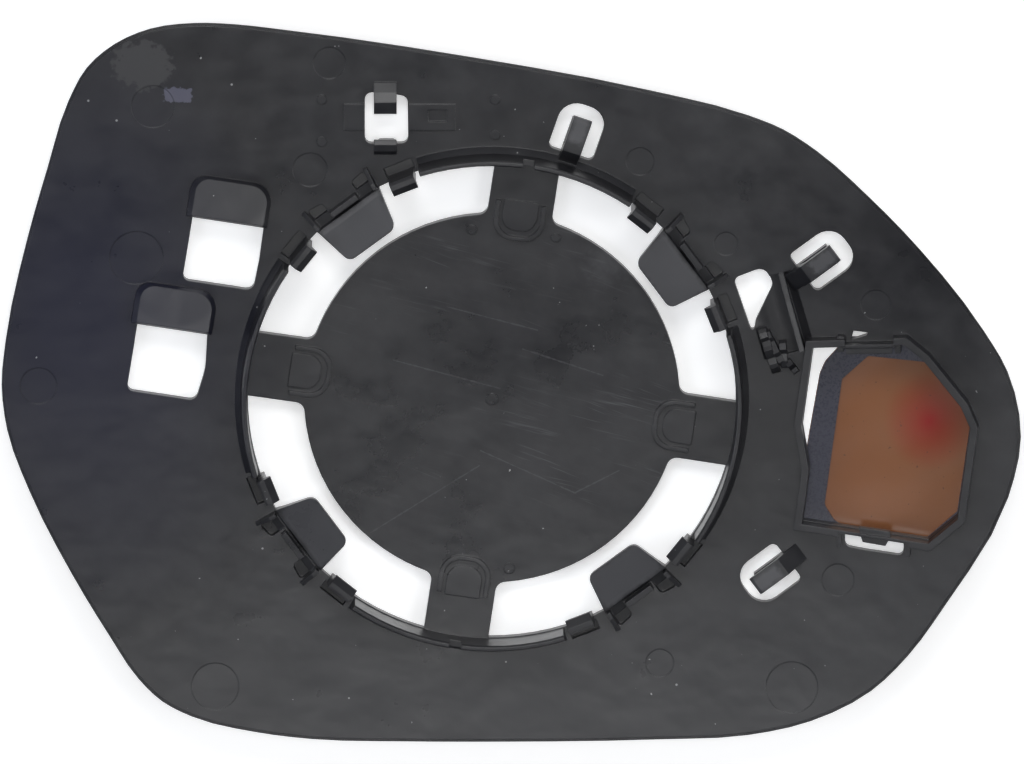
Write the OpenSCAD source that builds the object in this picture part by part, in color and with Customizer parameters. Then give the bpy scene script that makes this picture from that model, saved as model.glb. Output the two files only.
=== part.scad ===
// Door mirror glass on its clip-on backing plate, lying on the face of the glass.
// Millimetres. X runs along the plate, Y runs up it and Z points out of its back.
// Glass, bonding sheet and plate are layers of one gently bent bowl, so their faces are
// parts of spheres with a common centre straight above the origin.

/* [Layers] */
// which piece is drawn
// radius of the reflecting front of the glass
glass_r = 1260; // [1100:10:1500]
// thickness of the glass
glass_t = 2; // [1.8:0.1:2.4]
// thickness of the bonding sheet
sheet_t = 0.8; // [0.6:0.1:1.2]
// thickness of the dark mask round the lamp window
mask_t = 0.6; // [0.3:0.05:0.6]
// thickness of the plate's web
plate_t = 2.1; // [1.9:0.1:2.6]

/* [Plate outline] */
// overall width of the plate
plate_w = 188; // [184:0.5:192]
// overall height of the plate
plate_h = 135.7; // [133:0.1:138]
// thickness of the rim round the glass at the back of the plate
rim_t = 2; // [1.8:0.05:2.4]
// how far the rim's outer wall leans inwards on its way to the floor
rim_lean = 12.5; // [12:0.25:14]
// gap between the edge of the glass and the rim
rim_gap = 0.3; // [0.2:0.05:0.6]
// how far the rim stops short of the front of the glass
rim_short = 0.6; // [0.3:0.1:1]
// width of the fine step along the back edge
step_w = 0.5; // [0.3:0.1:0.8]
// depth of the fine step along the back edge
step_d = 0.5; // [0.3:0.1:0.8]

/* [Actuator ring] */
// distance of the ring's centre left of the middle of the plate
ring_left = 3.6; // [2.5:0.1:4.5]
// distance of the ring's centre below the middle of the plate
ring_below = 3.25; // [2.4:0.05:4.2]
// turn of the ring's four spokes
ring_turn = -8.5; // [-12:0.5:-5]
// radius of the opening inside the collar
ring_r = 45; // [44.6:0.1:45.4]
// height of the collar's top above the floor
collar_z = 13; // [12.4:0.1:13.6]
// thickness of the collar's wall
collar_t = 1.1; // [0.9:0.05:1.3]
// half of the angle that each length of collar covers
collar_half = 25.5; // [24:0.5:26]
// width of the notch in the collar over a spoke
notch_w = 2.2; // [1.5:0.1:3]
// radius of the disc inside the ring
disc_r = 34.65; // [34.2:0.05:35]
// width of a spoke
spoke_w = 12; // [11:0.25:13]
// radius of the fillet between a spoke and the disc
spoke_fillet = 1.9; // [1.2:0.1:2.4]

/* [Paddles and hooks] */
// distance from the ring's centre to a paddle's tip
tip_x = 36.9; // [36.6:0.1:37.6]
// height of a paddle's tip above the floor
tip_z = 9.2; // [8.4:0.1:9.8]
// width of a paddle at its tip
tip_w = 10.6; // [9.6:0.2:11.6]
// width of a paddle at its root
root_w = 14; // [13:0.2:14.4]
// thickness of a paddle
paddle_t = 1.3; // [1:0.1:1.6]
// angle between a paddle and the hook on either side of it
hook_angle = 15; // [14.6:0.1:15.4]
// width of a hook along the ring
hook_w = 4.8; // [4.2:0.1:5.2]
// height of a hook's top above the floor
hook_z = 12.2; // [11.6:0.1:12.6]
// how far a hook's nose reaches into the opening
nose = 2; // [1.5:0.1:2.4]
// height above the floor of the shallow pockets behind the hooks and paddles
pocket_z = 4.3; // [4.25:0.05:4.6]
// narrow ledge left inside a wall that stands round an opening
lip = 0.15; // [0.1:0.05:0.25]

/* [Windows and cable fingers] */
// width of the two hooded windows
window_w = 13.3; // [12.6:0.1:13.8]
// depth of the upper hooded window
window_h1 = 13; // [12.4:0.1:13.4]
// depth of the lower hooded window
window_h2 = 13.6; // [13:0.1:14]
// slant of the two hooded windows
window_turn = -9.3; // [-11:0.1:-8]
// height of the hoods above the plate
hood_h = 2.5; // [2:0.1:3]
// slope of the hoods' tops, down and away from their windows
hood_slope = 6; // [3:0.5:8]
// depth of the bevel round the top of the hoods
hood_bevel = 0.8; // [0.5:0.1:1]
// wall thickness of the hoods
hood_t = 1.2; // [1:0.1:1.4]
// width of a cable finger
finger_w = 3.5; // [3:0.1:3.8]
// clear width beside a cable finger
finger_gap = 2.6; // [2.3:0.1:2.8]
// length of a cable finger beyond its root
finger_l = 6.3; // [5.8:0.1:6.6]
// height of a cable finger's top above the plate
finger_h = 3.1; // [2.8:0.1:3.4]

/* [Lamp socket] */
// height of the wall round the lamp socket above the plate
socket_h = 3.6; // [3:0.1:4.2]
// thickness of the wall round the lamp socket
socket_t = 1.5; // [1.2:0.1:1.8]
// clear width round the dark mask where it lies in the bonding sheet
mask_gap = 0.15; // [0.1:0.05:0.3]

/* [Hidden] */
$fn = 96;
kx = plate_w / 188;
ky = plate_h / 135.7;
rim_fall = 2 * tan(rim_lean) / plate_h;
glass_back = glass_r - glass_t;
sheet_back = glass_back - sheet_t;
plate_back = sheet_back - plate_t;
ring = [-ring_left * kx, -ring_below * ky];

// Places are drawn from a line 0.35 below the middle of the plate.
// Points along the edge of the plate, anticlockwise from the top left corner; the curve
// through them is worked out by the function below.
edge = [
    [-58.5, 68.2], [-66.5, 67.2], [-73, 64.4], [-78.2, 59.9], [-81.6, 53.6], [-85.4, 41.3],
    [-89.2, 27.8], [-93.2, 8.9], [-94, 0.2], [-93, -8.3], [-88.9, -19.9], [-81.2, -35.4],
    [-74.1, -47.4], [-68.9, -55.3], [-64.5, -59.6], [-59, -62.5], [-47.3, -65.5], [-36.7, -66.9],
    [-20, -67.4], [-2.2, -67.5], [27.3, -67], [43.7, -66.1], [55.3, -63.4], [66.5, -57.6],
    [73.3, -50.9], [80.1, -41.4], [91.7, -21], [94, -9.6], [91.5, 2.7], [87.1, 10.3], [75.3, 25.5],
    [65.9, 35.3], [56.3, 43.9], [50, 48], [43.6, 50.6], [26, 55.1], [-7.7, 61.5], [-42.8, 66.9],
    [-51, 67.9]
];

function at(x, y) = [x * kx, (y - 0.35) * ky];
function fit(p) = [for (q = p) len(q) > 2 ? [q[0] * kx, q[1] * ky, q[2]] : [q[0] * kx, q[1] * ky]];
function far(a, b) = norm(b - a);
function wrap(p, i) = p[(i + len(p)) % len(p)];

// Direction of the curve at a point, from the chords on either side of it.
function heading(p, i) =
    let (a = wrap(p, i - 1), b = wrap(p, i), c = wrap(p, i + 1), d = far(a, b), e = far(b, c))
    ((b - a) / d * e + (c - b) / e * d) / (d + e);

// A smooth closed curve through points, with n steps between neighbours.
function curve(p, n) = [
    for (i = [0 : len(p) - 1])
        let (a = p[i], b = wrap(p, i + 1), d = far(a, b), s = heading(p, i) * d, t = heading(p, i + 1) * d)
        for (k = [0 : n - 1])
            let (u = k / n)
            (2 * u * u * u - 3 * u * u + 1) * a + (u * u * u - 2 * u * u + u) * s
                + (3 * u * u - 2 * u * u * u) * b + (u * u * u - u * u) * t
];

// The same curve moved inwards by d.
function inset(p, d) = [
    for (i = [0 : len(p) - 1])
        let (v = wrap(p, i + 1) - wrap(p, i - 1), m = norm(v))
        p[i] + [-v[1], v[0]] * d / m
];

// Middles of the upper edges of the two hooded windows, and of the clip's window.
hood_places = [at(-52, 31.4), at(-62.2, 11.3)];
clip_place = at(-23, 49.8);
// The cable fingers: place of the root, direction, and extra length of the slot.
finger_places = [[11.2, 44.4, 71, 0], [54.7, 21.5, 37, 0.5], [50.1, -34, 217, 0]];

function rim_curve(d) = inset(curve([for (q = edge) at(q[0], q[1])], 3), d);

// Height of the plate's back over the floor at a place.
function back_z(p) = glass_r - sqrt(plate_back * plate_back - p * p);

// A rounded corner at b between a and c, as n + 1 points on an arc.
function corner(a, b, c, r, n) =
    let (
        u = (a - b) / norm(a - b),
        v = (c - b) / norm(c - b),
        half = acos(u * v) / 2,
        m = b + (u + v) / norm(u + v) * r / sin(half),
        s = b + u * r / tan(half) - m,
        turn = (u[0] * v[1] - u[1] * v[0] > 0 ? -1 : 1) * (180 - 2 * half)
    )
    [for (k = [0 : n])
        let (w = turn * k / n)
        m + [s[0] * cos(w) - s[1] * sin(w), s[0] * sin(w) + s[1] * cos(w)]];

// A polygon whose corners are rounded; each point is x, y and its radius.
function rounded(p, n = 4) = [
    for (i = [0 : len(p) - 1])
        let (a = wrap(p, i - 1), b = p[i], c = wrap(p, i + 1))
        for (q = corner([a[0], a[1]], [b[0], b[1]], [c[0], c[1]], b[2], n)) q
];

// A ball with the common centre. Its poles and seam lie far from the part.
module ball(r) {
    translate([0, 0, glass_r])
        rotate([90, 0, 0])
            sphere(r = r, $fn = 720);
}

// The layer between two balls, under a flat drawing.
module layer(outer, inner) {
    intersection() {
        translate([0, 0, -2])
            linear_extrude(height = 30)
                children();
        difference() {
            ball(outer);
            ball(inner);
        }
    }
}

// Something that stands on the back of the plate at p, turned by a.
module seat(p, a = 0) {
    translate([p[0], p[1], back_z(p)])
        rotate([asin(p[1] / plate_back), -asin(p[0] / plate_back), 0])
            rotate([0, 0, a])
                children();
}

// A flat drawing raised h above the back of the plate at p.
module raised(p, h, a = 0) {
    seat(p, a)
        translate([0, 0, -0.8])
            linear_extrude(height = h + 0.8)
                children();
}

// A side view, x outwards and y up, drawn w wide across the middle.
module slab(w) {
    rotate([90, 0, 0])
        linear_extrude(height = w, center = true)
            children();
}

// Flat shapes cut through the plate.

module ring_opening() {
    difference() {
        circle(r = ring_r);
        circle(r = disc_r);
        for (q = [0 : 3])
            rotate(ring_turn + 90 * q)
                spoke_shape();
    }
}

module spoke_shape() {
    half = spoke_w / 2;
    c = [sqrt(pow(disc_r + spoke_fillet, 2) - pow(half + spoke_fillet, 2)), half + spoke_fillet];
    t = c * disc_r / (disc_r + spoke_fillet);
    translate([disc_r - 3, -half])
        square([ring_r - disc_r + 6, spoke_w]);
    for (s = [0, 1])
        mirror([0, s])
            difference() {
                polygon([[t[0] - 1, half - 1], [c[0], half - 1], c, t]);
                translate(c)
                    circle(r = spoke_fillet);
            }
}

// A window h deep whose right side bulges by b.
module window_shape(h, b) {
    w = window_w / 2;
    polygon(rounded([[-w, -h, 1.2], [w - b, -h, 1.5], [w + b, -h * 0.55, 12], [w - b, 0, 0.4],
        [-w, 0, 0.4]]));
}

// The hood's plan over the window's upper edge, d inside its outer wall.
module hood_shape(d) {
    w = window_w / 2 + 0.9 - d;
    translate([-0.45, 0])
        polygon(rounded([[-w, -0.8, 0.3], [w, -0.8, 0.3], [w, 7.2 - d, 3.6 - d], [-w, 7.2 - d, 2.9 - d]], 6));
}

module clip_shape() {
    polygon(rounded([[-4, -4.6, 1.2], [-1.8, -4.6, 0.6], [-1.4, -4, 0.5], [1.4, -4, 0.5],
        [1.8, -4.6, 0.6], [4, -4.6, 1.2], [3.9, 4.3, 1.3], [-0.5, 5.1, 3], [-4, 5.1, 1.3]]));
}

// The slot round a cable finger whose root is at the origin and whose tip points along x,
// longer by d.
module finger_slot(d) {
    half = finger_w / 2 + finger_gap;
    end = finger_l + d + 2.1;
    difference() {
        polygon(rounded([[-1.3, -half, 1.1], [end, -half, 3.6], [end, half, 3.6], [-1.3, half, 1.1]], 6));
        translate([-3, -finger_w / 2])
            square([3 + finger_l - 0.9, finger_w]);
    }
}

module tear_shape() {
    polygon(rounded([[40.9, 19.8, 1.2], [46.7, 22.1, 1.8], [48.3, 18.6, 2], [45.1, 11.9, 1.5],
        [44.6, 8.9, 0.4]]));
}

// Inner edge of the lamp socket, seen from its middle.
lamp_place = at(69, -10);
socket_edge = fit([
    [-13.2, 17.3], [3.5, 18], [7, 15.2], [14, 6.5], [15.7, 2.5], [13.4, -14.4], [8, -19],
    [-15.1, -15.6], [-14.4, -10.6], [-13.8, -5.6], [-15.2, 2.5]
]);

// The lamp socket's edge moved outwards by d.
module socket_shape(d) {
    p = socket_edge;
    polygon([for (i = [0 : len(p) - 1])
        let (
            u = (p[i] - wrap(p, i - 1)) / far(p[i], wrap(p, i - 1)),
            v = (wrap(p, i + 1) - p[i]) / far(wrap(p, i + 1), p[i]),
            m = [-u[1] - v[1], u[0] + v[0]]
        )
        p[i] + m * d / (m * [-u[1], u[0]])]);
}

// Outline of the dark mask, d larger all round, and of the pane it leaves open.
module mask_shape(d) {
    translate(lamp_place)
        polygon(rounded(fit([[-15 - d, -16.3 - d, 0.5], [-15 - d, -6.5, 2], [-13.9 - d, 0.6, 4],
            [-12 - d, 11.6, 3], [-11 - d, 13.8 + d, 3], [-8.7 - d, 16.4 + d, 1], [-8.4 - d, 18.5 + d, 0.4],
            [3.7 + d, 18.6 + d, 0.5], [7.5 + d, 15.7 + d, 1], [14.6 + d, 6.9 + d, 1], [16.4 + d, 2.7, 1],
            [14 + d, -15 - d, 1], [8.2 + d, -19.9 - d, 1]])));
}

module pane_shape() {
    translate(lamp_place)
        polygon(rounded(fit([[-8, 10.5, 0.6], [-3.2, 14.9, 0.6], [7.2, 13.9, 0.6], [14.3, 5.4, 0.6],
            [15.6, 1.8, 0.6], [13.3, -14.2, 0.6], [7.8, -19.1, 0.6], [-9, -16.75, 3.2], [-11.2, -13.2, 1.5]])));
}

// The slot outside the thin part of the lower wall, and the nick over the upper wall.
module lamp_back_slot() {
    polygon(rounded(fit([[-7.4, -17.5, 0.1], [3.4, -19.1, 0.1], [3.4, -22.2, 1], [-3.6, -21.2, 0.8],
        [-7.4, -20.5, 1.2]])));
}

module lamp_front_hole() {
    polygon(fit([[-6.4, 18.3], [-5.9, 20.1], [-3.2, 19.8], [-3.6, 19.2]]));
}

// The moulded backing plate.

// Its outline, leaning inwards towards the floor and true at the fine step.
module blank() {
    low = 1 - 2 * rim_fall;
    translate([0, 0, -2])
        linear_extrude(height = 30, scale = (1 + 28 * rim_fall) / low)
            polygon([for (p = rim_curve(0)) p * low / (1 + rim_fall * (back_z(p) - step_d))]);
}

module web() {
    color("#2b2c30")
        difference() {
            intersection() {
                blank();
                difference() {
                    ball(glass_r - rim_short);
                    ball(plate_back);
                }
            }
            layer(glass_r + 3, sheet_back)
                polygon(rim_curve(rim_t));
            intersection() {
                translate([0, 0, -2])
                    linear_extrude(height = 30)
                        difference() {
                            square([plate_w + 20, plate_h + 20], center = true);
                            polygon(rim_curve(step_w));
                        }
                ball(plate_back + step_d);
            }
            openings();
        }
}

// Everything cut right through the plate.
module openings() {
    translate([0, 0, -2])
        linear_extrude(height = 30) {
            translate(ring)
                ring_opening();
            translate(hood_places[0])
                rotate(window_turn)
                    window_shape(window_h1, 0.1);
            translate(hood_places[1])
                rotate(window_turn)
                    window_shape(window_h2, 0.4);
            translate(clip_place)
                clip_shape();
            for (f = finger_places)
                translate(at(f[0], f[1]))
                    rotate(f[2])
                        finger_slot(f[3]);
            translate(at(45, 16) - [45, 16])
                tear_shape();
            translate(lamp_place) {
                socket_shape(0);
                lamp_back_slot();
                lamp_front_hole();
            }
        }
}

module collar() {
    color("#3a3b40")
        translate([ring[0], ring[1], 0])
            difference() {
                for (q = [0 : 3])
                    rotate([0, 0, ring_turn + 90 * q - collar_half])
                        rotate_extrude(angle = 2 * collar_half)
                            collar_profile();
                for (q = [1, 3])
                    rotate([0, 0, ring_turn + 90 * q])
                        translate([ring_r - 2, -notch_w / 2, collar_z - 3.2])
                            cube([6, notch_w, 6]);
            }
}

module collar_profile() {
    r = ring_r + lip;
    t = collar_t;
    polygon([[r, 4.6], [r, collar_z - 0.5], [r + 0.25, collar_z], [r + t - 0.25, collar_z],
        [r + t, collar_z - 0.5], [r + t + 0.2, 7.2], [r + t + 1.2, 6.1], [r + t + 1.2, 4.6]]);
}

// The end of each spoke's tongue on the disc: a low arch with a flat shoe inside it.
module feet() {
    color("#34353a")
        for (q = [0 : 3]) {
            a = ring_turn + 90 * q;
            raised(ring + disc_r * [cos(a), sin(a)], 0.6, a)
                difference() {
                    foot_shape(0);
                    foot_shape(0.8);
                }
            raised(ring + disc_r * [cos(a), sin(a)], 0.3, a)
                translate([0.4, 0])
                    foot_shape(1.5);
        }
}

// The arch's plan, its open end outwards, d inside its outer edge.
module foot_shape(d) {
    w = spoke_w / 2 - 1.3 - d;
    polygon(rounded([[-4.6 + d, -w, w * 0.8], [2.6, -w, 0.2], [2.6, w, 0.2], [-4.6 + d, w, w * 0.8]], 8));
}

// One paddle with the low ledge behind it, pointing along x.
module paddle() {
    r = ring_r;
    color("#4a4b50")
        intersection() {
            slab(20)
                polygon([[tip_x, tip_z], [r - 1.6, 7.2], [r - 0.5, 7], [r - 0.3, 5.9], [r + 1.4, 5.3],
                    [r + 1.4, 4.1], [r - 1, 4.3], [r - 2.4, 5.4], [tip_x, tip_z - paddle_t]]);
            translate([0, 0, 2])
                linear_extrude(height = 12)
                    polygon(rounded([[tip_x, -tip_w / 2, 1.6], [r - 0.6, -root_w / 2, 0.6],
                        [r + 5, -root_w / 2, 1], [r + 5, root_w / 2, 1], [r - 0.6, root_w / 2, 0.6],
                        [tip_x, tip_w / 2, 1.6]]));
        }
    color("#4a4b50")
        translate([r + 0.2, -2.9, 4.6])
            cube([1.1, 5.8, 3.7]);
    for (s = [0, 1])
        mirror([0, s, 0])
            rotate([0, 0, 8.2])
                gusset();
}

// A short upright fin outside the collar.
module gusset() {
    translate([ring_r, 0, 0])
        slab(0.8)
            polygon([[0.3, 4.8], [0.3, 8.6], [1.6, 8.6], [4.4, 6.7], [4.4, 5]]);
}

// One snap hook, its nose pointing to the middle of the ring.
module hook() {
    color("#2f3034")
        translate([ring_r, 0, 0])
            slab(hook_w)
                polygon([[0.7, 4.1], [0.7, hook_z - 0.5], [0.2, hook_z], [-0.7, hook_z],
                    [-nose, hook_z - 1.2], [-nose, hook_z - 1.9], [-0.8, hook_z - 2.6], [-0.8, 4.1]]);
}

// The shallow pockets behind a paddle and its two hooks.
module quarter_pockets() {
    for (s = [-1, 1])
        rotate(s * hook_angle)
            translate([ring_r + 0.7, -hook_w / 2 - 0.3])
                square([1.9, hook_w + 0.6]);
    for (s = [0, 1])
        mirror([0, s])
            translate([ring_r, 0])
                polygon(rounded([[0.1, 3.3, 0.2], [3.2, 3.3, 0.8], [3.6, 6.4, 0.5], [0.1, 6.3, 0.2]]));
}

module pockets() {
    translate([ring[0], ring[1], pocket_z])
        linear_extrude(height = 3)
            for (q = [0 : 3])
                rotate(ring_turn + 45 + 90 * q)
                    quarter_pockets();
}

module quarters() {
    translate([ring[0], ring[1], 0])
        for (q = [0 : 3])
            rotate([0, 0, ring_turn + 45 + 90 * q]) {
                paddle();
                for (s = [-1, 1])
                    rotate([0, 0, s * hook_angle])
                        hook();
            }
}

module hoods() {
    color("#303136")
        for (p = hood_places) {
            hood_seat(p)
                translate([0, 0, -1])
                    linear_extrude(height = hood_h - hood_bevel + 1)
                        hood_shape(0);
            hood_seat(p)
                translate([0, 2.8, hood_h - hood_bevel])
                    linear_extrude(height = hood_bevel, scale = 1 - hood_bevel / 7)
                        translate([0, -2.8])
                            hood_shape(0);
        }
}

// The hollows under the hoods, open towards the windows.
module hood_hollows() {
    for (p = hood_places)
        hood_seat(p)
            translate([0, 0, -0.3])
                linear_extrude(height = hood_h - hood_t + 0.3)
                    hood_shape(hood_t);
    for (p = hood_places)
        hood_seat(p)
            translate([hood_t - window_w / 2 - 1.35, -4, -1.2])
                cube([window_w - 2 * hood_t + 1.8, 4.3, hood_h - hood_t + 1.2]);
}

// A seat that falls away from the window, for the hood's sloping top.
module hood_seat(p) {
    seat(p, window_turn)
        rotate([-hood_slope, 0, 0])
            children();
}

// A cable finger with the ramp at its root.
module finger() {
    color("#2b2c30") {
        slab(finger_w)
            polygon([[0.5, finger_h], [finger_l - 0.6, finger_h - 0.1], [finger_l, finger_h - 0.6],
                [finger_l, finger_h - 1.5], [0.8, finger_h - 1.5], [-1.3, -0.6], [-4.3, -0.6], [-4.3, 0],
                [-0.3, finger_h]]);
    }
}

module fingers() {
    for (f = finger_places)
        seat(at(f[0], f[1]), f[2])
            finger();
}

// The pair of small fingers at the upper cable clip.
module clip_fingers() {
    color("#303136") {
        seat(clip_place + [-0.25, 4.5], 270)
            slab(4.2)
                polygon([[-2.6, -0.8], [-2.6, 0.4], [-1, 1.7], [0.9, 2], [3, 1.6], [3.3, 1.1], [3, 0.4],
                    [0.7, 0.5], [0, -0.8]]);
        seat(clip_place + [-0.25, -4], 270)
            slab(4.2)
                polygon([[0, -0.8], [-0.4, 1.2], [0.4, 1.8], [1.7, 1.6], [2.6, 0.2], [2.9, -0.8]]);
    }
}

module low_relief() {
    color("#303136") {
        raised(at(-29, 50.3), 0.45)
            square([3.7, 5], center = true);
        raised(at(-14.6, 50.2), 0.45)
            difference() {
                square([8.6, 5], center = true);
                translate([1, 0.3])
                    square([3.4, 2.2], center = true);
            }
        for (p = [[-34.9, 53.6], [-34.9, 45.6], [-3, 53.5], [-3, 46.8]])
            raised(at(p[0], p[1]), 0.3)
                circle(r = 0.9);
    }
}

// Small pips on the disc: direction, distance in from its edge, radius.
module disc_pips() {
    color("#202124") {
        for (p = [[96.6, 2.65, 0.9], [68.7, 2.15, 0.8], [-84.3, 2.5, 1]])
            raised(ring + (disc_r - p[1]) * [cos(p[0]), sin(p[0])], 0.35)
                circle(r = p[2]);
        raised(ring + [0, -0.2], 0.35)
            circle(r = 1.1);
    }
}

// Round marks of the mould's pushers, sunk into the back.
module pusher_marks() {
    for (p = [[-33.5, 60.5, 3], [-69.1, 23.9, 5], [-37.1, 40.3, 3.2], [23.7, 41.8, 2.6],
        [39.6, 26.3, 2.2], [67.2, 15, 2.8], [60.3, -36.8, 3], [51.8, -57, 4.8],
        [27.4, -52.6, 2.6], [-54.7, -56.8, 4.4], [-66, 52.5, 4], [-87.2, 0, 3.4]])
        seat(at(p[0], p[1]))
            translate([0, 0, -0.15])
                cylinder(r = p[2], h = 2);
}

// The wall round the lamp socket with its two latches; the lower wall is thin behind
// the slot, and a short tab hangs into the slot.
module socket() {
    color("#3a3b40") {
        raised(lamp_place, socket_h)
            difference() {
                socket_shape(socket_t);
                socket_shape(lip);
                polygon(fit([[-7.4, 12], [-7.4, 25], [1.6, 25], [1.6, 12]]));
                polygon(fit([[-8.4, -12], [-8.4, -26], [4.2, -26], [4.2, -12]]));
            }
        raised(lamp_place, socket_h)
            intersection() {
                difference() {
                    socket_shape(socket_t / 2);
                    socket_shape(lip);
                }
                polygon(fit([[-9, -12], [-9, -26], [4.8, -26], [4.8, -12]]));
            }
        raised(lamp_place, 1.4)
            polygon(fit([[-4.8, -17.2], [-4.1, -19.4], [0.1, -20.1], [1.2, -18.2]]));
        raised(lamp_place, socket_h - 0.4)
            polygon(fit([[-8, 17.3], [2.2, 17.6], [2.2, 18.3], [-8, 18]]));
        raised(lamp_place, socket_h - 1) {
            polygon(fit([[-8.8, 16.6], [-7.6, 16.6], [-7.6, 19.5], [-8.8, 19.5]]));
            polygon(fit([[1.8, 16.4], [2.9, 16.4], [2.9, 19], [1.8, 19]]));
            polygon(fit([[-8.9, -20.2], [-8.1, -20.2], [-8.1, -17.6], [-8.9, -17.6]]));
            polygon(fit([[3.9, -21.9], [4.7, -21.9], [4.7, -19.2], [3.9, -19.2]]));
        }
        seat(lamp_place)
            translate([0, 0, 1.4])
                linear_extrude(height = socket_h - 2) {
                    polygon(fit([[-7.2, 16.2], [1.3, 16.4], [1.4, 17.9], [-7.2, 17.7]]));
                    polygon(fit([[-4.7, -16.3], [1, -17.1], [1.2, -18.5], [-4.5, -17.7]]));
                }
    }
}

// The rib, the hollow beside it and the torn stub left of the lamp socket.
module arm_hollow() {
    translate([48.9 * kx, 12.5 * ky, back_z([49, 12]) + 8.8])
        rotate([0, 0, -74])
            rotate([0, 90, 0])
                cylinder(r = 10, h = 15, center = true);
}

module arm() {
    p = at(51.7, 13.8);
    color("#303136") {
        seat(p, -74)
            slab(1)
                polygon([[-7.4, -1], [-7.4, 0.2], [-2, 1.6], [7.4, 3.2], [7.8, -1]]);
        seat(at(47.6, 6.2), -72)
            stub();
    }
}

// The lumpy break where a moulded tongue has torn away.
module stub() {
    slab(1.6)
        polygon([[-4.4, -1], [-4.5, 0.6], [-3.9, 1.7], [-2.9, 1.9], [-2.1, 1.2], [-1.2, 1.5], [-0.5, 2.1],
            [0.4, 1.5], [1.3, 0.9], [2.3, 1.6], [3.1, 1.5], [4, 0.7], [4.8, -1]]);
    translate([0.3, 1.2, 0])
        rotate([0, 0, 9])
            slab(1.2)
                polygon([[-4.1, -1], [-3.9, 0.7], [-2.8, 1.4], [-1.9, 0.7], [-0.9, 1], [0.2, 1.6],
                    [1.1, 0.9], [2.2, 1.2], [3, 0.4], [3.3, -1]]);
    translate([1.9, 2.2, 0])
        rotate([0, 0, -12])
            slab(1.3)
                polygon([[-3, -1], [-2.7, 0.8], [-1.6, 1.2], [-0.7, 0.5], [0.6, 1.1], [1.9, 0.6], [2.3, -1]]);
    translate([4, 3.1, 0])
        rotate([0, 0, 20])
            slab(1.2)
                polygon([[-1.7, -1], [-1.4, 0.7], [-0.4, 1.2], [0.5, 0.6], [1.3, 0.8], [1.7, -1]]);
}

module backing_plate() {
    difference() {
        union() {
            web();
            hoods();
        }
        pockets();
        pusher_marks();
        arm_hollow();
        hood_hollows();
    }
    feet();
    disc_pips();
    collar();
    quarters();
    fingers();
    clip_fingers();
    low_relief();
    socket();
    arm();
}

// The white bonding sheet, cut out round the dark mask.
module adhesive_sheet() {
    color("#ffffff")
        layer(glass_back, sheet_back)
            difference() {
                polygon(rim_curve(rim_t + rim_gap + 1));
                mask_shape(mask_gap);
            }
}

// The dark mask bonded to the glass round the lamp window.
module light_mask() {
    color("#45465a")
        layer(glass_back, glass_back - mask_t)
            difference() {
                mask_shape(0);
                pane_shape();
            }
}

// The bent pane; its front faces the floor.
module mirror_glass() {
    color("#7d5740")
        layer(glass_r, glass_back)
            polygon(rim_curve(rim_t + rim_gap));
}

backing_plate();
adhesive_sheet();
light_mask();
mirror_glass();
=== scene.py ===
"""Looks for a door mirror glass that lies face down on a pale floor."""

import math

import bpy
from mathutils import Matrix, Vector

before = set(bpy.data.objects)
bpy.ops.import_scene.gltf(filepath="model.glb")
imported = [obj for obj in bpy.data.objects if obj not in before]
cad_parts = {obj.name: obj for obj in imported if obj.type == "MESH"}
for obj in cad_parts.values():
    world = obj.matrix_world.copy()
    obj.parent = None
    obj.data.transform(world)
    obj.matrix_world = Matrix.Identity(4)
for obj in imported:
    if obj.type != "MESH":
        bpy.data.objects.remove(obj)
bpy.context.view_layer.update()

MM = 0.001


# ---------------------------------------------------------------- camera

TILT = math.radians(11.75)
DISTANCE = 8.0
FRAME_WIDTH = 188.9 * MM
AIM = Vector((0.12 * MM, -0.24 * MM, 4.9 * MM))
SENSOR = 36.0
CLIP_START, CLIP_END = 0.05, 50


def make_camera():
    data = bpy.data.cameras.new("camera")
    data.sensor_fit = "HORIZONTAL"
    data.sensor_width = SENSOR
    data.lens = SENSOR * DISTANCE / FRAME_WIDTH
    data.clip_start, data.clip_end = CLIP_START, CLIP_END
    camera = bpy.data.objects.new("camera", data)
    camera.location = AIM + DISTANCE * Vector((0, math.sin(TILT), math.cos(TILT)))
    camera.rotation_euler = (-TILT, 0, 0)
    bpy.context.scene.collection.objects.link(camera)
    bpy.context.scene.camera = camera


make_camera()


# ---------------------------------------------------------------- node helpers


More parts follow.
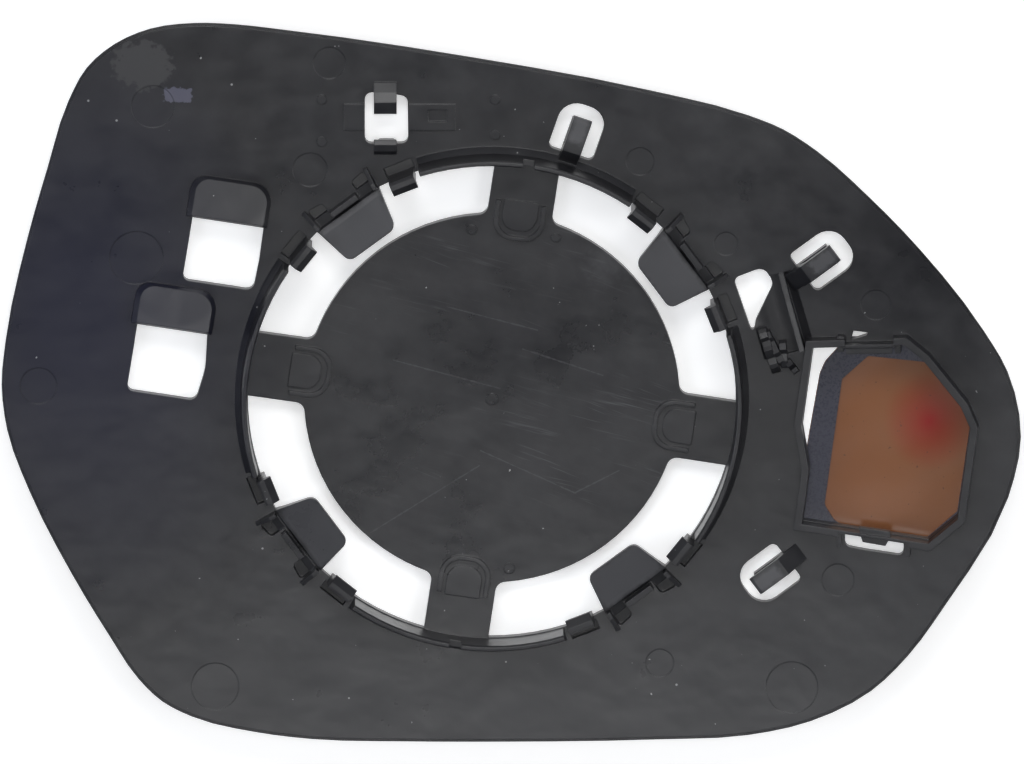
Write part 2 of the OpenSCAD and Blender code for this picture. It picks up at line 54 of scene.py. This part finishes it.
class Tree:
    """A material's node tree, built from short calls that return sockets."""

    def __init__(self, name):
        self.material = bpy.data.materials.new(name)
        self.material.use_nodes = True
        self.tree = self.material.node_tree
        self.tree.nodes.clear()

    def node(self, kind, inputs=None, **settings):
        n = self.tree.nodes.new(kind)
        for key, value in settings.items():
            setattr(n, key, value)
        for key, value in (inputs or {}).items():
            socket = n.inputs[key]
            if isinstance(value, bpy.types.NodeSocket):
                self.tree.links.new(value, socket)
            else:
                socket.default_value = value
        return n

    def math(self, operation, a, b=0.0, c=0.0, clamp=False):
        n = self.node("ShaderNodeMath", {0: a, 1: b, 2: c}, operation=operation, use_clamp=clamp)
        return n.outputs[0]

    def mix(self, factor, a, b, blend="MIX"):
        n = self.node("ShaderNodeMix", data_type="RGBA", blend_type=blend)
        for socket, value in ((n.inputs[0], factor), (n.inputs[6], a), (n.inputs[7], b)):
            if isinstance(value, bpy.types.NodeSocket):
                self.tree.links.new(value, socket)
            else:
                socket.default_value = value
        return n.outputs[2]

    def object_place(self):
        return self.node("ShaderNodeTexCoord").outputs["Object"]

    def place(self, location=(0, 0, 0), turn=0.0, scale=(1, 1, 1)):
        """Object coordinates with location as the new origin, turned and then stretched."""
        moved = self.node(
            "ShaderNodeVectorMath", {0: self.object_place(), 1: location}, operation="SUBTRACT"
        ).outputs[0]
        turned = self.node(
            "ShaderNodeVectorRotate", {"Vector": moved, "Angle": -turn}, rotation_type="Z_AXIS"
        ).outputs[0]
        return self.node(
            "ShaderNodeVectorMath", {0: turned, 1: scale}, operation="MULTIPLY"
        ).outputs[0]

    def noise(self, vector, scale, detail=3.0, roughness=0.5, distortion=0.0):
        n = self.node(
            "ShaderNodeTexNoise",
            {"Vector": vector, "Scale": scale, "Detail": detail, "Roughness": roughness,
             "Distortion": distortion},
        )
        return n.outputs[0]

    def span(self, value, low, high, to_low=0.0, to_high=1.0):
        n = self.node(
            "ShaderNodeMapRange",
            {0: value, 1: low, 2: high, 3: to_low, 4: to_high},
            clamp=True,
        )
        return n.outputs[0]

    def length(self, vector):
        return self.node("ShaderNodeVectorMath", {0: vector}, operation="LENGTH").outputs[1]

    def blob(self, centre, half, turn=0.0, soft=0.4, ragged=0.0):
        """1 inside a rounded patch round centre, 0 outside, with a soft and ragged edge."""
        shrink = (1 / half[0] / MM, 1 / half[1] / MM, 0)
        r = self.length(self.place((centre[0] * MM, centre[1] * MM, 0), turn, shrink))
        if ragged:
            uneven = self.noise(self.object_place(), 900, 4)
            r = self.math("ADD", r, self.span(uneven, 0.3, 0.7, -ragged, ragged))
        return self.span(r, 1 - soft, 1, 1, 0)

    def wobble(self, amount):
        """A small uneven length in millimetres, which makes a straight edge ragged."""
        return self.span(self.noise(self.object_place(), 1200, 4), 0.3, 0.7, -amount, amount)

    def slab(self, centre, half, turn, soft, wobble):
        """1 inside a box-shaped patch round centre, 0 outside."""
        p = self.place((centre[0] * MM, centre[1] * MM, 0), turn)
        parts = self.node("ShaderNodeSeparateXYZ", {0: p}).outputs
        out = None
        for axis in (0, 1):
            d = self.math("ABSOLUTE", parts[axis])
            d = self.math("ADD", self.math("MULTIPLY", d, 1 / MM), wobble)
            side = self.span(d, half[axis] - soft, half[axis], 1, 0)
            out = side if out is None else self.math("MULTIPLY", out, side)
        return out

    def bump(self, height, strength, distance, normal=None):
        inputs = {"Strength": strength, "Distance": distance, "Height": height}
        if normal is not None:
            inputs["Normal"] = normal
        return self.node("ShaderNodeBump", inputs).outputs[0]

    def principled(self, base, roughness, normal, **more):
        """A principled shader; further inputs are given by name, with _ for each space."""
        inputs = {"Base Color": base, "Roughness": roughness, "Normal": normal}
        inputs.update((name.replace("_", " "), value) for name, value in more.items())
        return self.node("ShaderNodeBsdfPrincipled", inputs).outputs[0]

    def surface(self, shader):
        self.node("ShaderNodeOutputMaterial", {"Surface": shader})
        return self.material


def grey(value, blue=0.0):
    """A neutral colour, or one with a little more blue."""
    return (value, value, value + blue, 1.0)


def rgb(red, green, blue):
    return (red, green, blue, 1.0)


# ---------------------------------------------------------------- moulded plate

# places and lengths in millimetres, as on the part
RING = (-3.6, -3.25)
DISC_RADIUS = 34.65
DISC_EDGE = 0.3
PADDLE_RADIUS = 40.6
RING_TURN = math.radians(-8.5)
SHARP_EDGE_RADIUS = 0.28
SCRATCH_WIDTH = 0.16

PLATE_DARK, PLATE_LIGHT = rgb(0.0080, 0.0082, 0.0104), rgb(0.0125, 0.0125, 0.0145)
MOTTLE, BLUE_SHEEN = grey(0.026, 0.003), rgb(0.0075, 0.0085, 0.0250)
# the first colour of the next line is a painted sheen on the lower part of the plate
LOWER_SHEEN, STREAK, HAZE = grey(0.040, 0.002), grey(0.085, 0.006), grey(0.05, 0.004)
ROUGH_PATCH, SLIP = grey(0.046, 0.002), rgb(0.085, 0.085, 0.120)
# the first colour of the next line is partly rubbed wear and partly a painted edge highlight
# the second colour of the next line is a painted highlight on the paddles and cable fingers
EDGE_WEAR_AND_HIGHLIGHT, TONGUE_HIGHLIGHT, SPECK = grey(0.08, 0.006), grey(0.072, 0.005), grey(0.35)
GLOSS_FULL, GLOSS_DULL = 0.5, 0.24


def scratches(t, turn, scale, stretch, low, high, seed):
    """Thin broken lines along one direction, from a noise drawn out lengthwise."""
    p = t.place((seed * MM, 0, 0), turn, (1, stretch, 1))
    lines = t.span(t.noise(p, scale, 2, 0.6), low, high)
    broken = t.span(t.noise(t.place((0, seed * MM, 0), turn, (1, 6, 1)), 60, 3), 0.5, 0.66)
    return t.math("MULTIPLY", lines, broken)


def sharp_edges(t, radius):
    """1 where the surface turns sharply within radius."""
    bevel = t.node("ShaderNodeBevel", {"Radius": radius}, samples=4).outputs[0]
    flat = t.node("ShaderNodeNewGeometry").outputs["Normal"]
    dot = t.node("ShaderNodeVectorMath", {0: bevel, 1: flat}, operation="DOT_PRODUCT").outputs[1]
    return bevel, t.span(dot, 0.8, 0.99, 1, 0)


def marks(t, lines, width):
    """1 along straight thin marks, each from one place to another in millimetres."""
    out = 0.0
    wobble = t.wobble(width * 0.6)
    for (x0, y0), (x1, y1) in lines:
        half = (math.hypot(x1 - x0, y1 - y0) / 2, width)
        middle = ((x0 + x1) / 2, (y0 + y1) / 2)
        line = t.slab(middle, half, math.atan2(y1 - y0, x1 - x0), width * 0.7, wobble)
        out = t.math("MAXIMUM", out, line)
    return out


SCRATCHES = (
    ((-26.1, -28.6), (-5.8, -15.9)),
    ((-5.8, -13.1), (11.7, -21.1)),
    ((11.7, -21.1), (20.0, -16.8)),
    ((-22.0, 4.0), (-2.0, -1.5)),
    ((2.0, 6.0), (17.0, 1.0)),
    ((-12.0, 14.0), (5.0, 9.5)),
)
# paddles and cable fingers, painted paler than the plate as a highlight: middle, half sizes,
# direction
PADDLE_HALF, FINGER_HALF = (4.2, 7.0), (3.2, 1.9)
PADDLES = tuple(
    (RING[0] + PADDLE_RADIUS * math.cos(a), RING[1] + PADDLE_RADIUS * math.sin(a), PADDLE_HALF, a)
    for a in (RING_TURN + math.radians(45 + 90 * quarter) for quarter in range(4))
)
FINGERS = (
    (12.6, 48.1, FINGER_HALF, math.radians(71)),
    (57.6, 23.6, FINGER_HALF, math.radians(37)),
    (47.2, -36.5, FINGER_HALF, math.radians(37)),
)
# single grains of dust: place, radius
DUST = (
    (71.7, -3.2, 0.3), (59.3, -13.7, 0.5), (-72.7, 49.6, 0.25), (-51.5, 56.2, 0.25),
    (-77.9, 53.4, 0.25), (-1.0, -52.8, 0.2), (30.5, -57.0, 0.25), (-30.0, -59.5, 0.2),
)

# patches with less gloss: middle, half sizes, direction, softness, amount
DULL = (
    ((75, 22), (36, 34), -0.6, 0.9, 1.0),
    ((-82, 12), (46, 70), 0.1, 0.9, 0.55),
    ((-52.2, 35.0), (9.0, 6.0), -0.1, 0.25, 0.65),
    ((-62.1, 16.2), (9.0, 6.0), -0.1, 0.25, 0.65),
    ((6.0, 10.0), (30.0, 24.0), 0.0, 0.9, 0.5),
    ((29.0, 20.9), (8.0, 8.0), 0.0, 0.3, 0.7),
)


def plate_material():
    t = Tree("plate_black")
    here = t.object_place()
    from_ring = t.length(t.place((RING[0] * MM, RING[1] * MM, 0), 0, (1 / MM, 1 / MM, 0)))
    disc = t.span(from_ring, DISC_RADIUS - DISC_EDGE, DISC_RADIUS + DISC_EDGE, 1, 0)

    cloud = t.noise(here, 32, 4, 0.55)
    mottle = t.noise(here, 150, 4, 0.6)
    grain = t.noise(here, 2600, 2, 0.6)
    speck = t.span(t.noise(t.place((0.3, 0.1, 0)), 1100, 1), 0.81, 0.83)
    for x, y, r in DUST:
        speck = t.math("MAXIMUM", speck, t.blob((x, y), (r, r), 0, 0.4))

    base = t.mix(t.span(cloud, 0.35, 0.65), PLATE_DARK, PLATE_LIGHT)
    base = t.mix(t.span(mottle, 0.4, 0.75, 0, 0.6), base, MOTTLE)
    # painted reflection: a blue sheen on the left of the plate
    blue = t.blob((-80, 12), (40, 60), 0.1, 0.85)
    base = t.mix(t.math("MULTIPLY", blue, 0.8), base, BLUE_SHEEN)
    # painted sheen: the lower part of the plate is made paler, standing in for light reflected
    # there
    broad_tone = t.blob((-5, -80), (120, 56), 0, 0.8)
    base = t.mix(t.math("MULTIPLY", broad_tone, 0.7), base, LOWER_SHEEN)
    dull = 0.0
    for middle, half, turn, soft, amount in DULL:
        patch = t.math("MULTIPLY", t.blob(middle, half, turn, soft), amount)
        dull = t.math("MAXIMUM", dull, patch)

    streaks = t.math(
        "MAXIMUM",
        scratches(t, math.radians(-14), 90, 26, 0.58, 0.74, 3.1),
        scratches(t, math.radians(-22), 120, 30, 0.6, 0.76, 9.4),
    )
    streak_zone = t.math("MULTIPLY", disc, t.span(t.noise(here, 40, 2), 0.4, 0.58))
    streaks = t.math("MULTIPLY", streaks, streak_zone)
    single = t.math("MULTIPLY", marks(t, SCRATCHES, SCRATCH_WIDTH), 0.55)
    streaks = t.math("MAXIMUM", streaks, single)
    base = t.mix(t.math("MULTIPLY", streaks, 0.6), base, STREAK)
    haze = t.blob((18.2, 22.6), (6.0, 5.0), 0.4, 0.9, 0.3)
    base = t.mix(t.math("MULTIPLY", haze, 0.45), base, HAZE)

    rough_patch = t.blob((-68.0, 59.9), (5.8, 4.9), -0.15, 0.18, 0.25)
    base = t.mix(t.math("MULTIPLY", rough_patch, 0.75), base, ROUGH_PATCH)
    slip = t.slab((-61.4, 54.3), (2.7, 1.45), -0.05, 0.25, t.wobble(0.35))
    base = t.mix(t.math("MULTIPLY", slip, 0.9), base, SLIP)

    # paler sharp edges: partly rubbed wear, partly a painted edge highlight
    bevel, sharp_edge = sharp_edges(t, SHARP_EDGE_RADIUS * MM)
    pale_edges = t.math("MULTIPLY", sharp_edge, t.span(mottle, 0.35, 0.7, 0.25, 1.0))
    base = t.mix(t.math("MULTIPLY", pale_edges, 0.6), base, EDGE_WEAR_AND_HIGHLIGHT)
    # painted highlight: the paddles and cable fingers are made paler, standing in for light on
    # their raised faces
    tongues = 0.0
    wobble = t.wobble(0.3)
    for x, y, half, turn in PADDLES + FINGERS:
        tongues = t.math("MAXIMUM", tongues, t.slab((x, y), half, turn, 1.0, wobble))
    lit_tongues = t.math("MULTIPLY", tongues, t.span(cloud, 0.3, 0.7, 0.6, 1.0))
    base = t.mix(lit_tongues, base, TONGUE_HIGHLIGHT)
    base = t.mix(t.math("MULTIPLY", speck, 0.8), base, SPECK)

    roughness = t.span(cloud, 0.3, 0.7, 0.28, 0.36)
    roughness = t.math("ADD", roughness, t.span(mottle, 0.3, 0.7, -0.04, 0.05))
    roughness = t.math("SUBTRACT", roughness, t.math("MULTIPLY", disc, 0.02))
    roughness = t.math("ADD", roughness, t.math("MULTIPLY", rough_patch, 0.25))
    roughness = t.math("ADD", roughness, t.math("MULTIPLY", streaks, 0.15))

    wave = t.noise(here, 75, 3, 0.5)
    normal = t.bump(wave, 0.6, 0.35 * MM, bevel)
    pits = t.math("MULTIPLY", rough_patch, t.noise(here, 1400, 3))
    normal = t.bump(t.math("ADD", grain, pits), 0.12, 0.05 * MM, normal)
    gloss = t.span(dull, 0, 1, GLOSS_FULL, GLOSS_DULL)
    return t.surface(t.principled(base, roughness, normal, IOR=1.5, Specular_IOR_Level=gloss))


# ---------------------------------------------------------------- bonding sheet

WHITE = grey(1.0)
# painted light: the sheet glows a little, so shade under the plate's openings stays white
SHEET_GLOW = 0.35


def sheet_material():
    t = Tree("sheet_white")
    here = t.object_place()
    fibres = t.noise(here, 1800, 4, 0.7)
    tone = t.noise(here, 60, 3)
    base = t.mix(t.span(tone, 0.3, 0.7), grey(0.90), rgb(0.96, 0.96, 0.95))
    base = t.mix(t.span(fibres, 0.6, 0.8, 0, 0.2), base, grey(0.84))
    normal = t.bump(fibres, 0.1, 0.05 * MM)
    roughness = t.span(fibres, 0.3, 0.7, 0.75, 0.95)
    return t.surface(
        t.principled(base, roughness, normal, Emission_Color=WHITE, Emission_Strength=SHEET_GLOW)
    )


# ---------------------------------------------------------------- dark mask


def mask_material():
    t = Tree("mask_dark")
    here = t.object_place()
    tone = t.noise(here, 120, 4)
    base = t.mix(t.span(tone, 0.3, 0.7), rgb(0.021, 0.022, 0.038), rgb(0.029, 0.030, 0.050))
    print_dots = t.noise(here, 2400, 2)
    roughness = t.span(print_dots, 0.3, 0.7, 0.22, 0.36)
    normal = t.bump(print_dots, 0.08, 0.03 * MM)
    return t.surface(t.principled(base, roughness, normal))


# ---------------------------------------------------------------- mirror pane

GLOW_PLACE, GLOW_HALF = (77.2, -7.65), (8.6, 9.6)
BROWN_DARK, BROWN_LIGHT = rgb(0.205, 0.080, 0.032), rgb(0.219, 0.087, 0.037)
RED_GLOW, DUST_BROWN = rgb(0.235, 0.005, 0.0005), rgb(0.05, 0.03, 0.02)
SILVER_LIGHT, SILVER_DARK = rgb(0.86, 0.88, 0.89), rgb(0.80, 0.82, 0.83)
EDGE_DARK, EDGE_LIGHT = rgb(0.10, 0.16, 0.14), rgb(0.22, 0.30, 0.27)


def pane_material():
    """Silvered front, ground edge, and brown coating behind the lamp's window."""
    t = Tree("mirror_pane")
    here = t.object_place()
    turn = t.node("ShaderNodeTexCoord").outputs["Normal"]
    up = t.node("ShaderNodeSeparateXYZ", {0: turn}).outputs[2]
    back = t.span(up, 0.3, 0.6)
    front = t.span(up, -0.6, -0.3, 1, 0)

    broad_tone = t.noise(here, 90, 4, 0.6)
    dust = t.span(t.noise(t.place((0.2, 0, 0)), 1300, 1), 0.74, 0.78)
    brown = t.mix(t.span(broad_tone, 0.3, 0.7), BROWN_DARK, BROWN_LIGHT)
    brown = t.mix(t.blob(GLOW_PLACE, GLOW_HALF, 0, 0.98), brown, RED_GLOW)
    brown = t.mix(t.math("MULTIPLY", dust, 0.7), brown, DUST_BROWN)
    smear = t.noise(t.place((0, 0, 0), 0.6, (1, 3, 1)), 60, 3)
    back_rough = t.span(smear, 0.35, 0.7, 0.16, 0.22)
    back_shader = t.principled(brown, back_rough, t.bump(broad_tone, 0.03, 0.05 * MM))

    veil = t.noise(here, 45, 5, 0.65)
    silver = t.mix(t.span(veil, 0.35, 0.7), SILVER_LIGHT, SILVER_DARK)
    silver = t.mix(t.math("MULTIPLY", dust, 0.6), silver, grey(0.45))
    front_rough = t.span(veil, 0.4, 0.75, 0.02, 0.06)
    front_rough = t.math("ADD", front_rough, t.math("MULTIPLY", dust, 0.4))
    front_shader = t.principled(silver, front_rough, t.bump(veil, 0.01, 0.05 * MM), Metallic=1.0)

    ground = t.noise(here, 900, 4)
    edge_shader = t.principled(
        t.mix(ground, EDGE_DARK, EDGE_LIGHT),
        t.span(ground, 0.3, 0.7, 0.35, 0.6),
        t.bump(ground, 0.2, 0.05 * MM),
    )

    mixed = t.node("ShaderNodeMixShader", {0: back, 1: edge_shader, 2: back_shader}).outputs[0]
    mixed = t.node("ShaderNodeMixShader", {0: front, 1: mixed, 2: front_shader}).outputs[0]
    return t.surface(mixed)


MATERIALS = {
    "backing_plate": plate_material,
    "adhesive_sheet": sheet_material,
    "light_mask": mask_material,
    "mirror_glass": pane_material,
}


def dress_nodes():
    for name, make in MATERIALS.items():
        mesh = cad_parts[name].data
        mesh.materials.clear()
        mesh.materials.append(make())


dress_nodes()


# ---------------------------------------------------------------- floor and light

FLOOR_HALF = 3.0
FLOOR_GLOW = 0.62
WORLD_TINT, WORLD_LIGHT = rgb(0.9, 0.93, 1.0), 0.25
NEUTRAL, COOL = (1, 1, 1), (0.88, 0.92, 1.0)
# name, place, aim, size in metres, power in watts, colour
LAMPS = (
    ("key", (0.0, 0.22, 1.5), (0.0, 0.22, 0), (0.32, 0.72), 5.2, NEUTRAL),
    ("far", (0.0, 1.5, 1.25), (0, 0, 0), (1.4, 0.7), 15, NEUTRAL),
    ("left", (-1.5, -0.2, 1.1), (0, 0, 0), (0.8, 0.8), 8, COOL),
    ("right", (1.5, -0.2, 1.1), (0, 0, 0), (0.8, 0.8), 8, NEUTRAL),
)


def floor_material():
    """Pale floor: white to the camera and in reflections, with the object's shadow kept."""
    t = Tree("floor")
    rays = t.node("ShaderNodeLightPath").outputs
    seen = t.math("MAXIMUM", rays["Is Camera Ray"], rays["Is Glossy Ray"])
    seen = t.math("MAXIMUM", seen, rays["Is Transmission Ray"])
    paper = t.noise(t.object_place(), 220, 3)
    diffuse = t.node(
        "ShaderNodeBsdfDiffuse",
        {"Color": t.mix(t.span(paper, 0.3, 0.7), grey(0.60), grey(0.62)), "Roughness": 0.6},
    ).outputs[0]
    white = t.node("ShaderNodeEmission", {"Color": WHITE, "Strength": FLOOR_GLOW}).outputs[0]
    none = t.node("ShaderNodeEmission", {"Color": grey(0.0), "Strength": 0.0}).outputs[0]
    glow = t.node("ShaderNodeMixShader", {0: seen, 1: none, 2: white}).outputs[0]
    both = t.node("ShaderNodeAddShader", {0: diffuse, 1: glow}).outputs[0]
    return t.surface(both)


def make_floor():
    h = FLOOR_HALF
    mesh = bpy.data.meshes.new("floor")
    mesh.from_pydata([(-h, -h, 0), (h, -h, 0), (h, h, 0), (-h, h, 0)], [], [(0, 1, 2, 3)])
    floor = bpy.data.objects.new("floor", mesh)
    bpy.context.scene.collection.objects.link(floor)
    mesh.materials.append(floor_material())


def make_lamp(name, place, aim, size, power, colour):
    data = bpy.data.lights.new(name, "AREA")
    data.shape = "RECTANGLE"
    data.size, data.size_y = size
    data.energy = power
    data.color = colour
    lamp = bpy.data.objects.new(name, data)
    lamp.location = place
    lamp.rotation_euler = (Vector(aim) - Vector(place)).to_track_quat("-Z", "Y").to_euler()
    bpy.context.scene.collection.objects.link(lamp)


def make_world():
    world = bpy.data.worlds.new("studio")
    bpy.context.scene.world = world
    world.use_nodes = True
    tree = world.node_tree
    tree.nodes.clear()
    rays = tree.nodes.new("ShaderNodeLightPath").outputs
    light = tree.nodes.new("ShaderNodeBackground")
    light.inputs[0].default_value = WORLD_TINT
    light.inputs[1].default_value = WORLD_LIGHT
    white = tree.nodes.new("ShaderNodeBackground")
    white.inputs[0].default_value = WHITE
    white.inputs[1].default_value = 1.0
    mix = tree.nodes.new("ShaderNodeMixShader")
    out = tree.nodes.new("ShaderNodeOutputWorld")
    tree.links.new(rays["Is Camera Ray"], mix.inputs[0])
    tree.links.new(light.outputs[0], mix.inputs[1])
    tree.links.new(white.outputs[0], mix.inputs[2])
    tree.links.new(mix.outputs[0], out.inputs[0])


make_floor()
make_world()
for lamp in LAMPS:
    make_lamp(*lamp)

bpy.context.scene.view_settings.view_transform = "Standard"
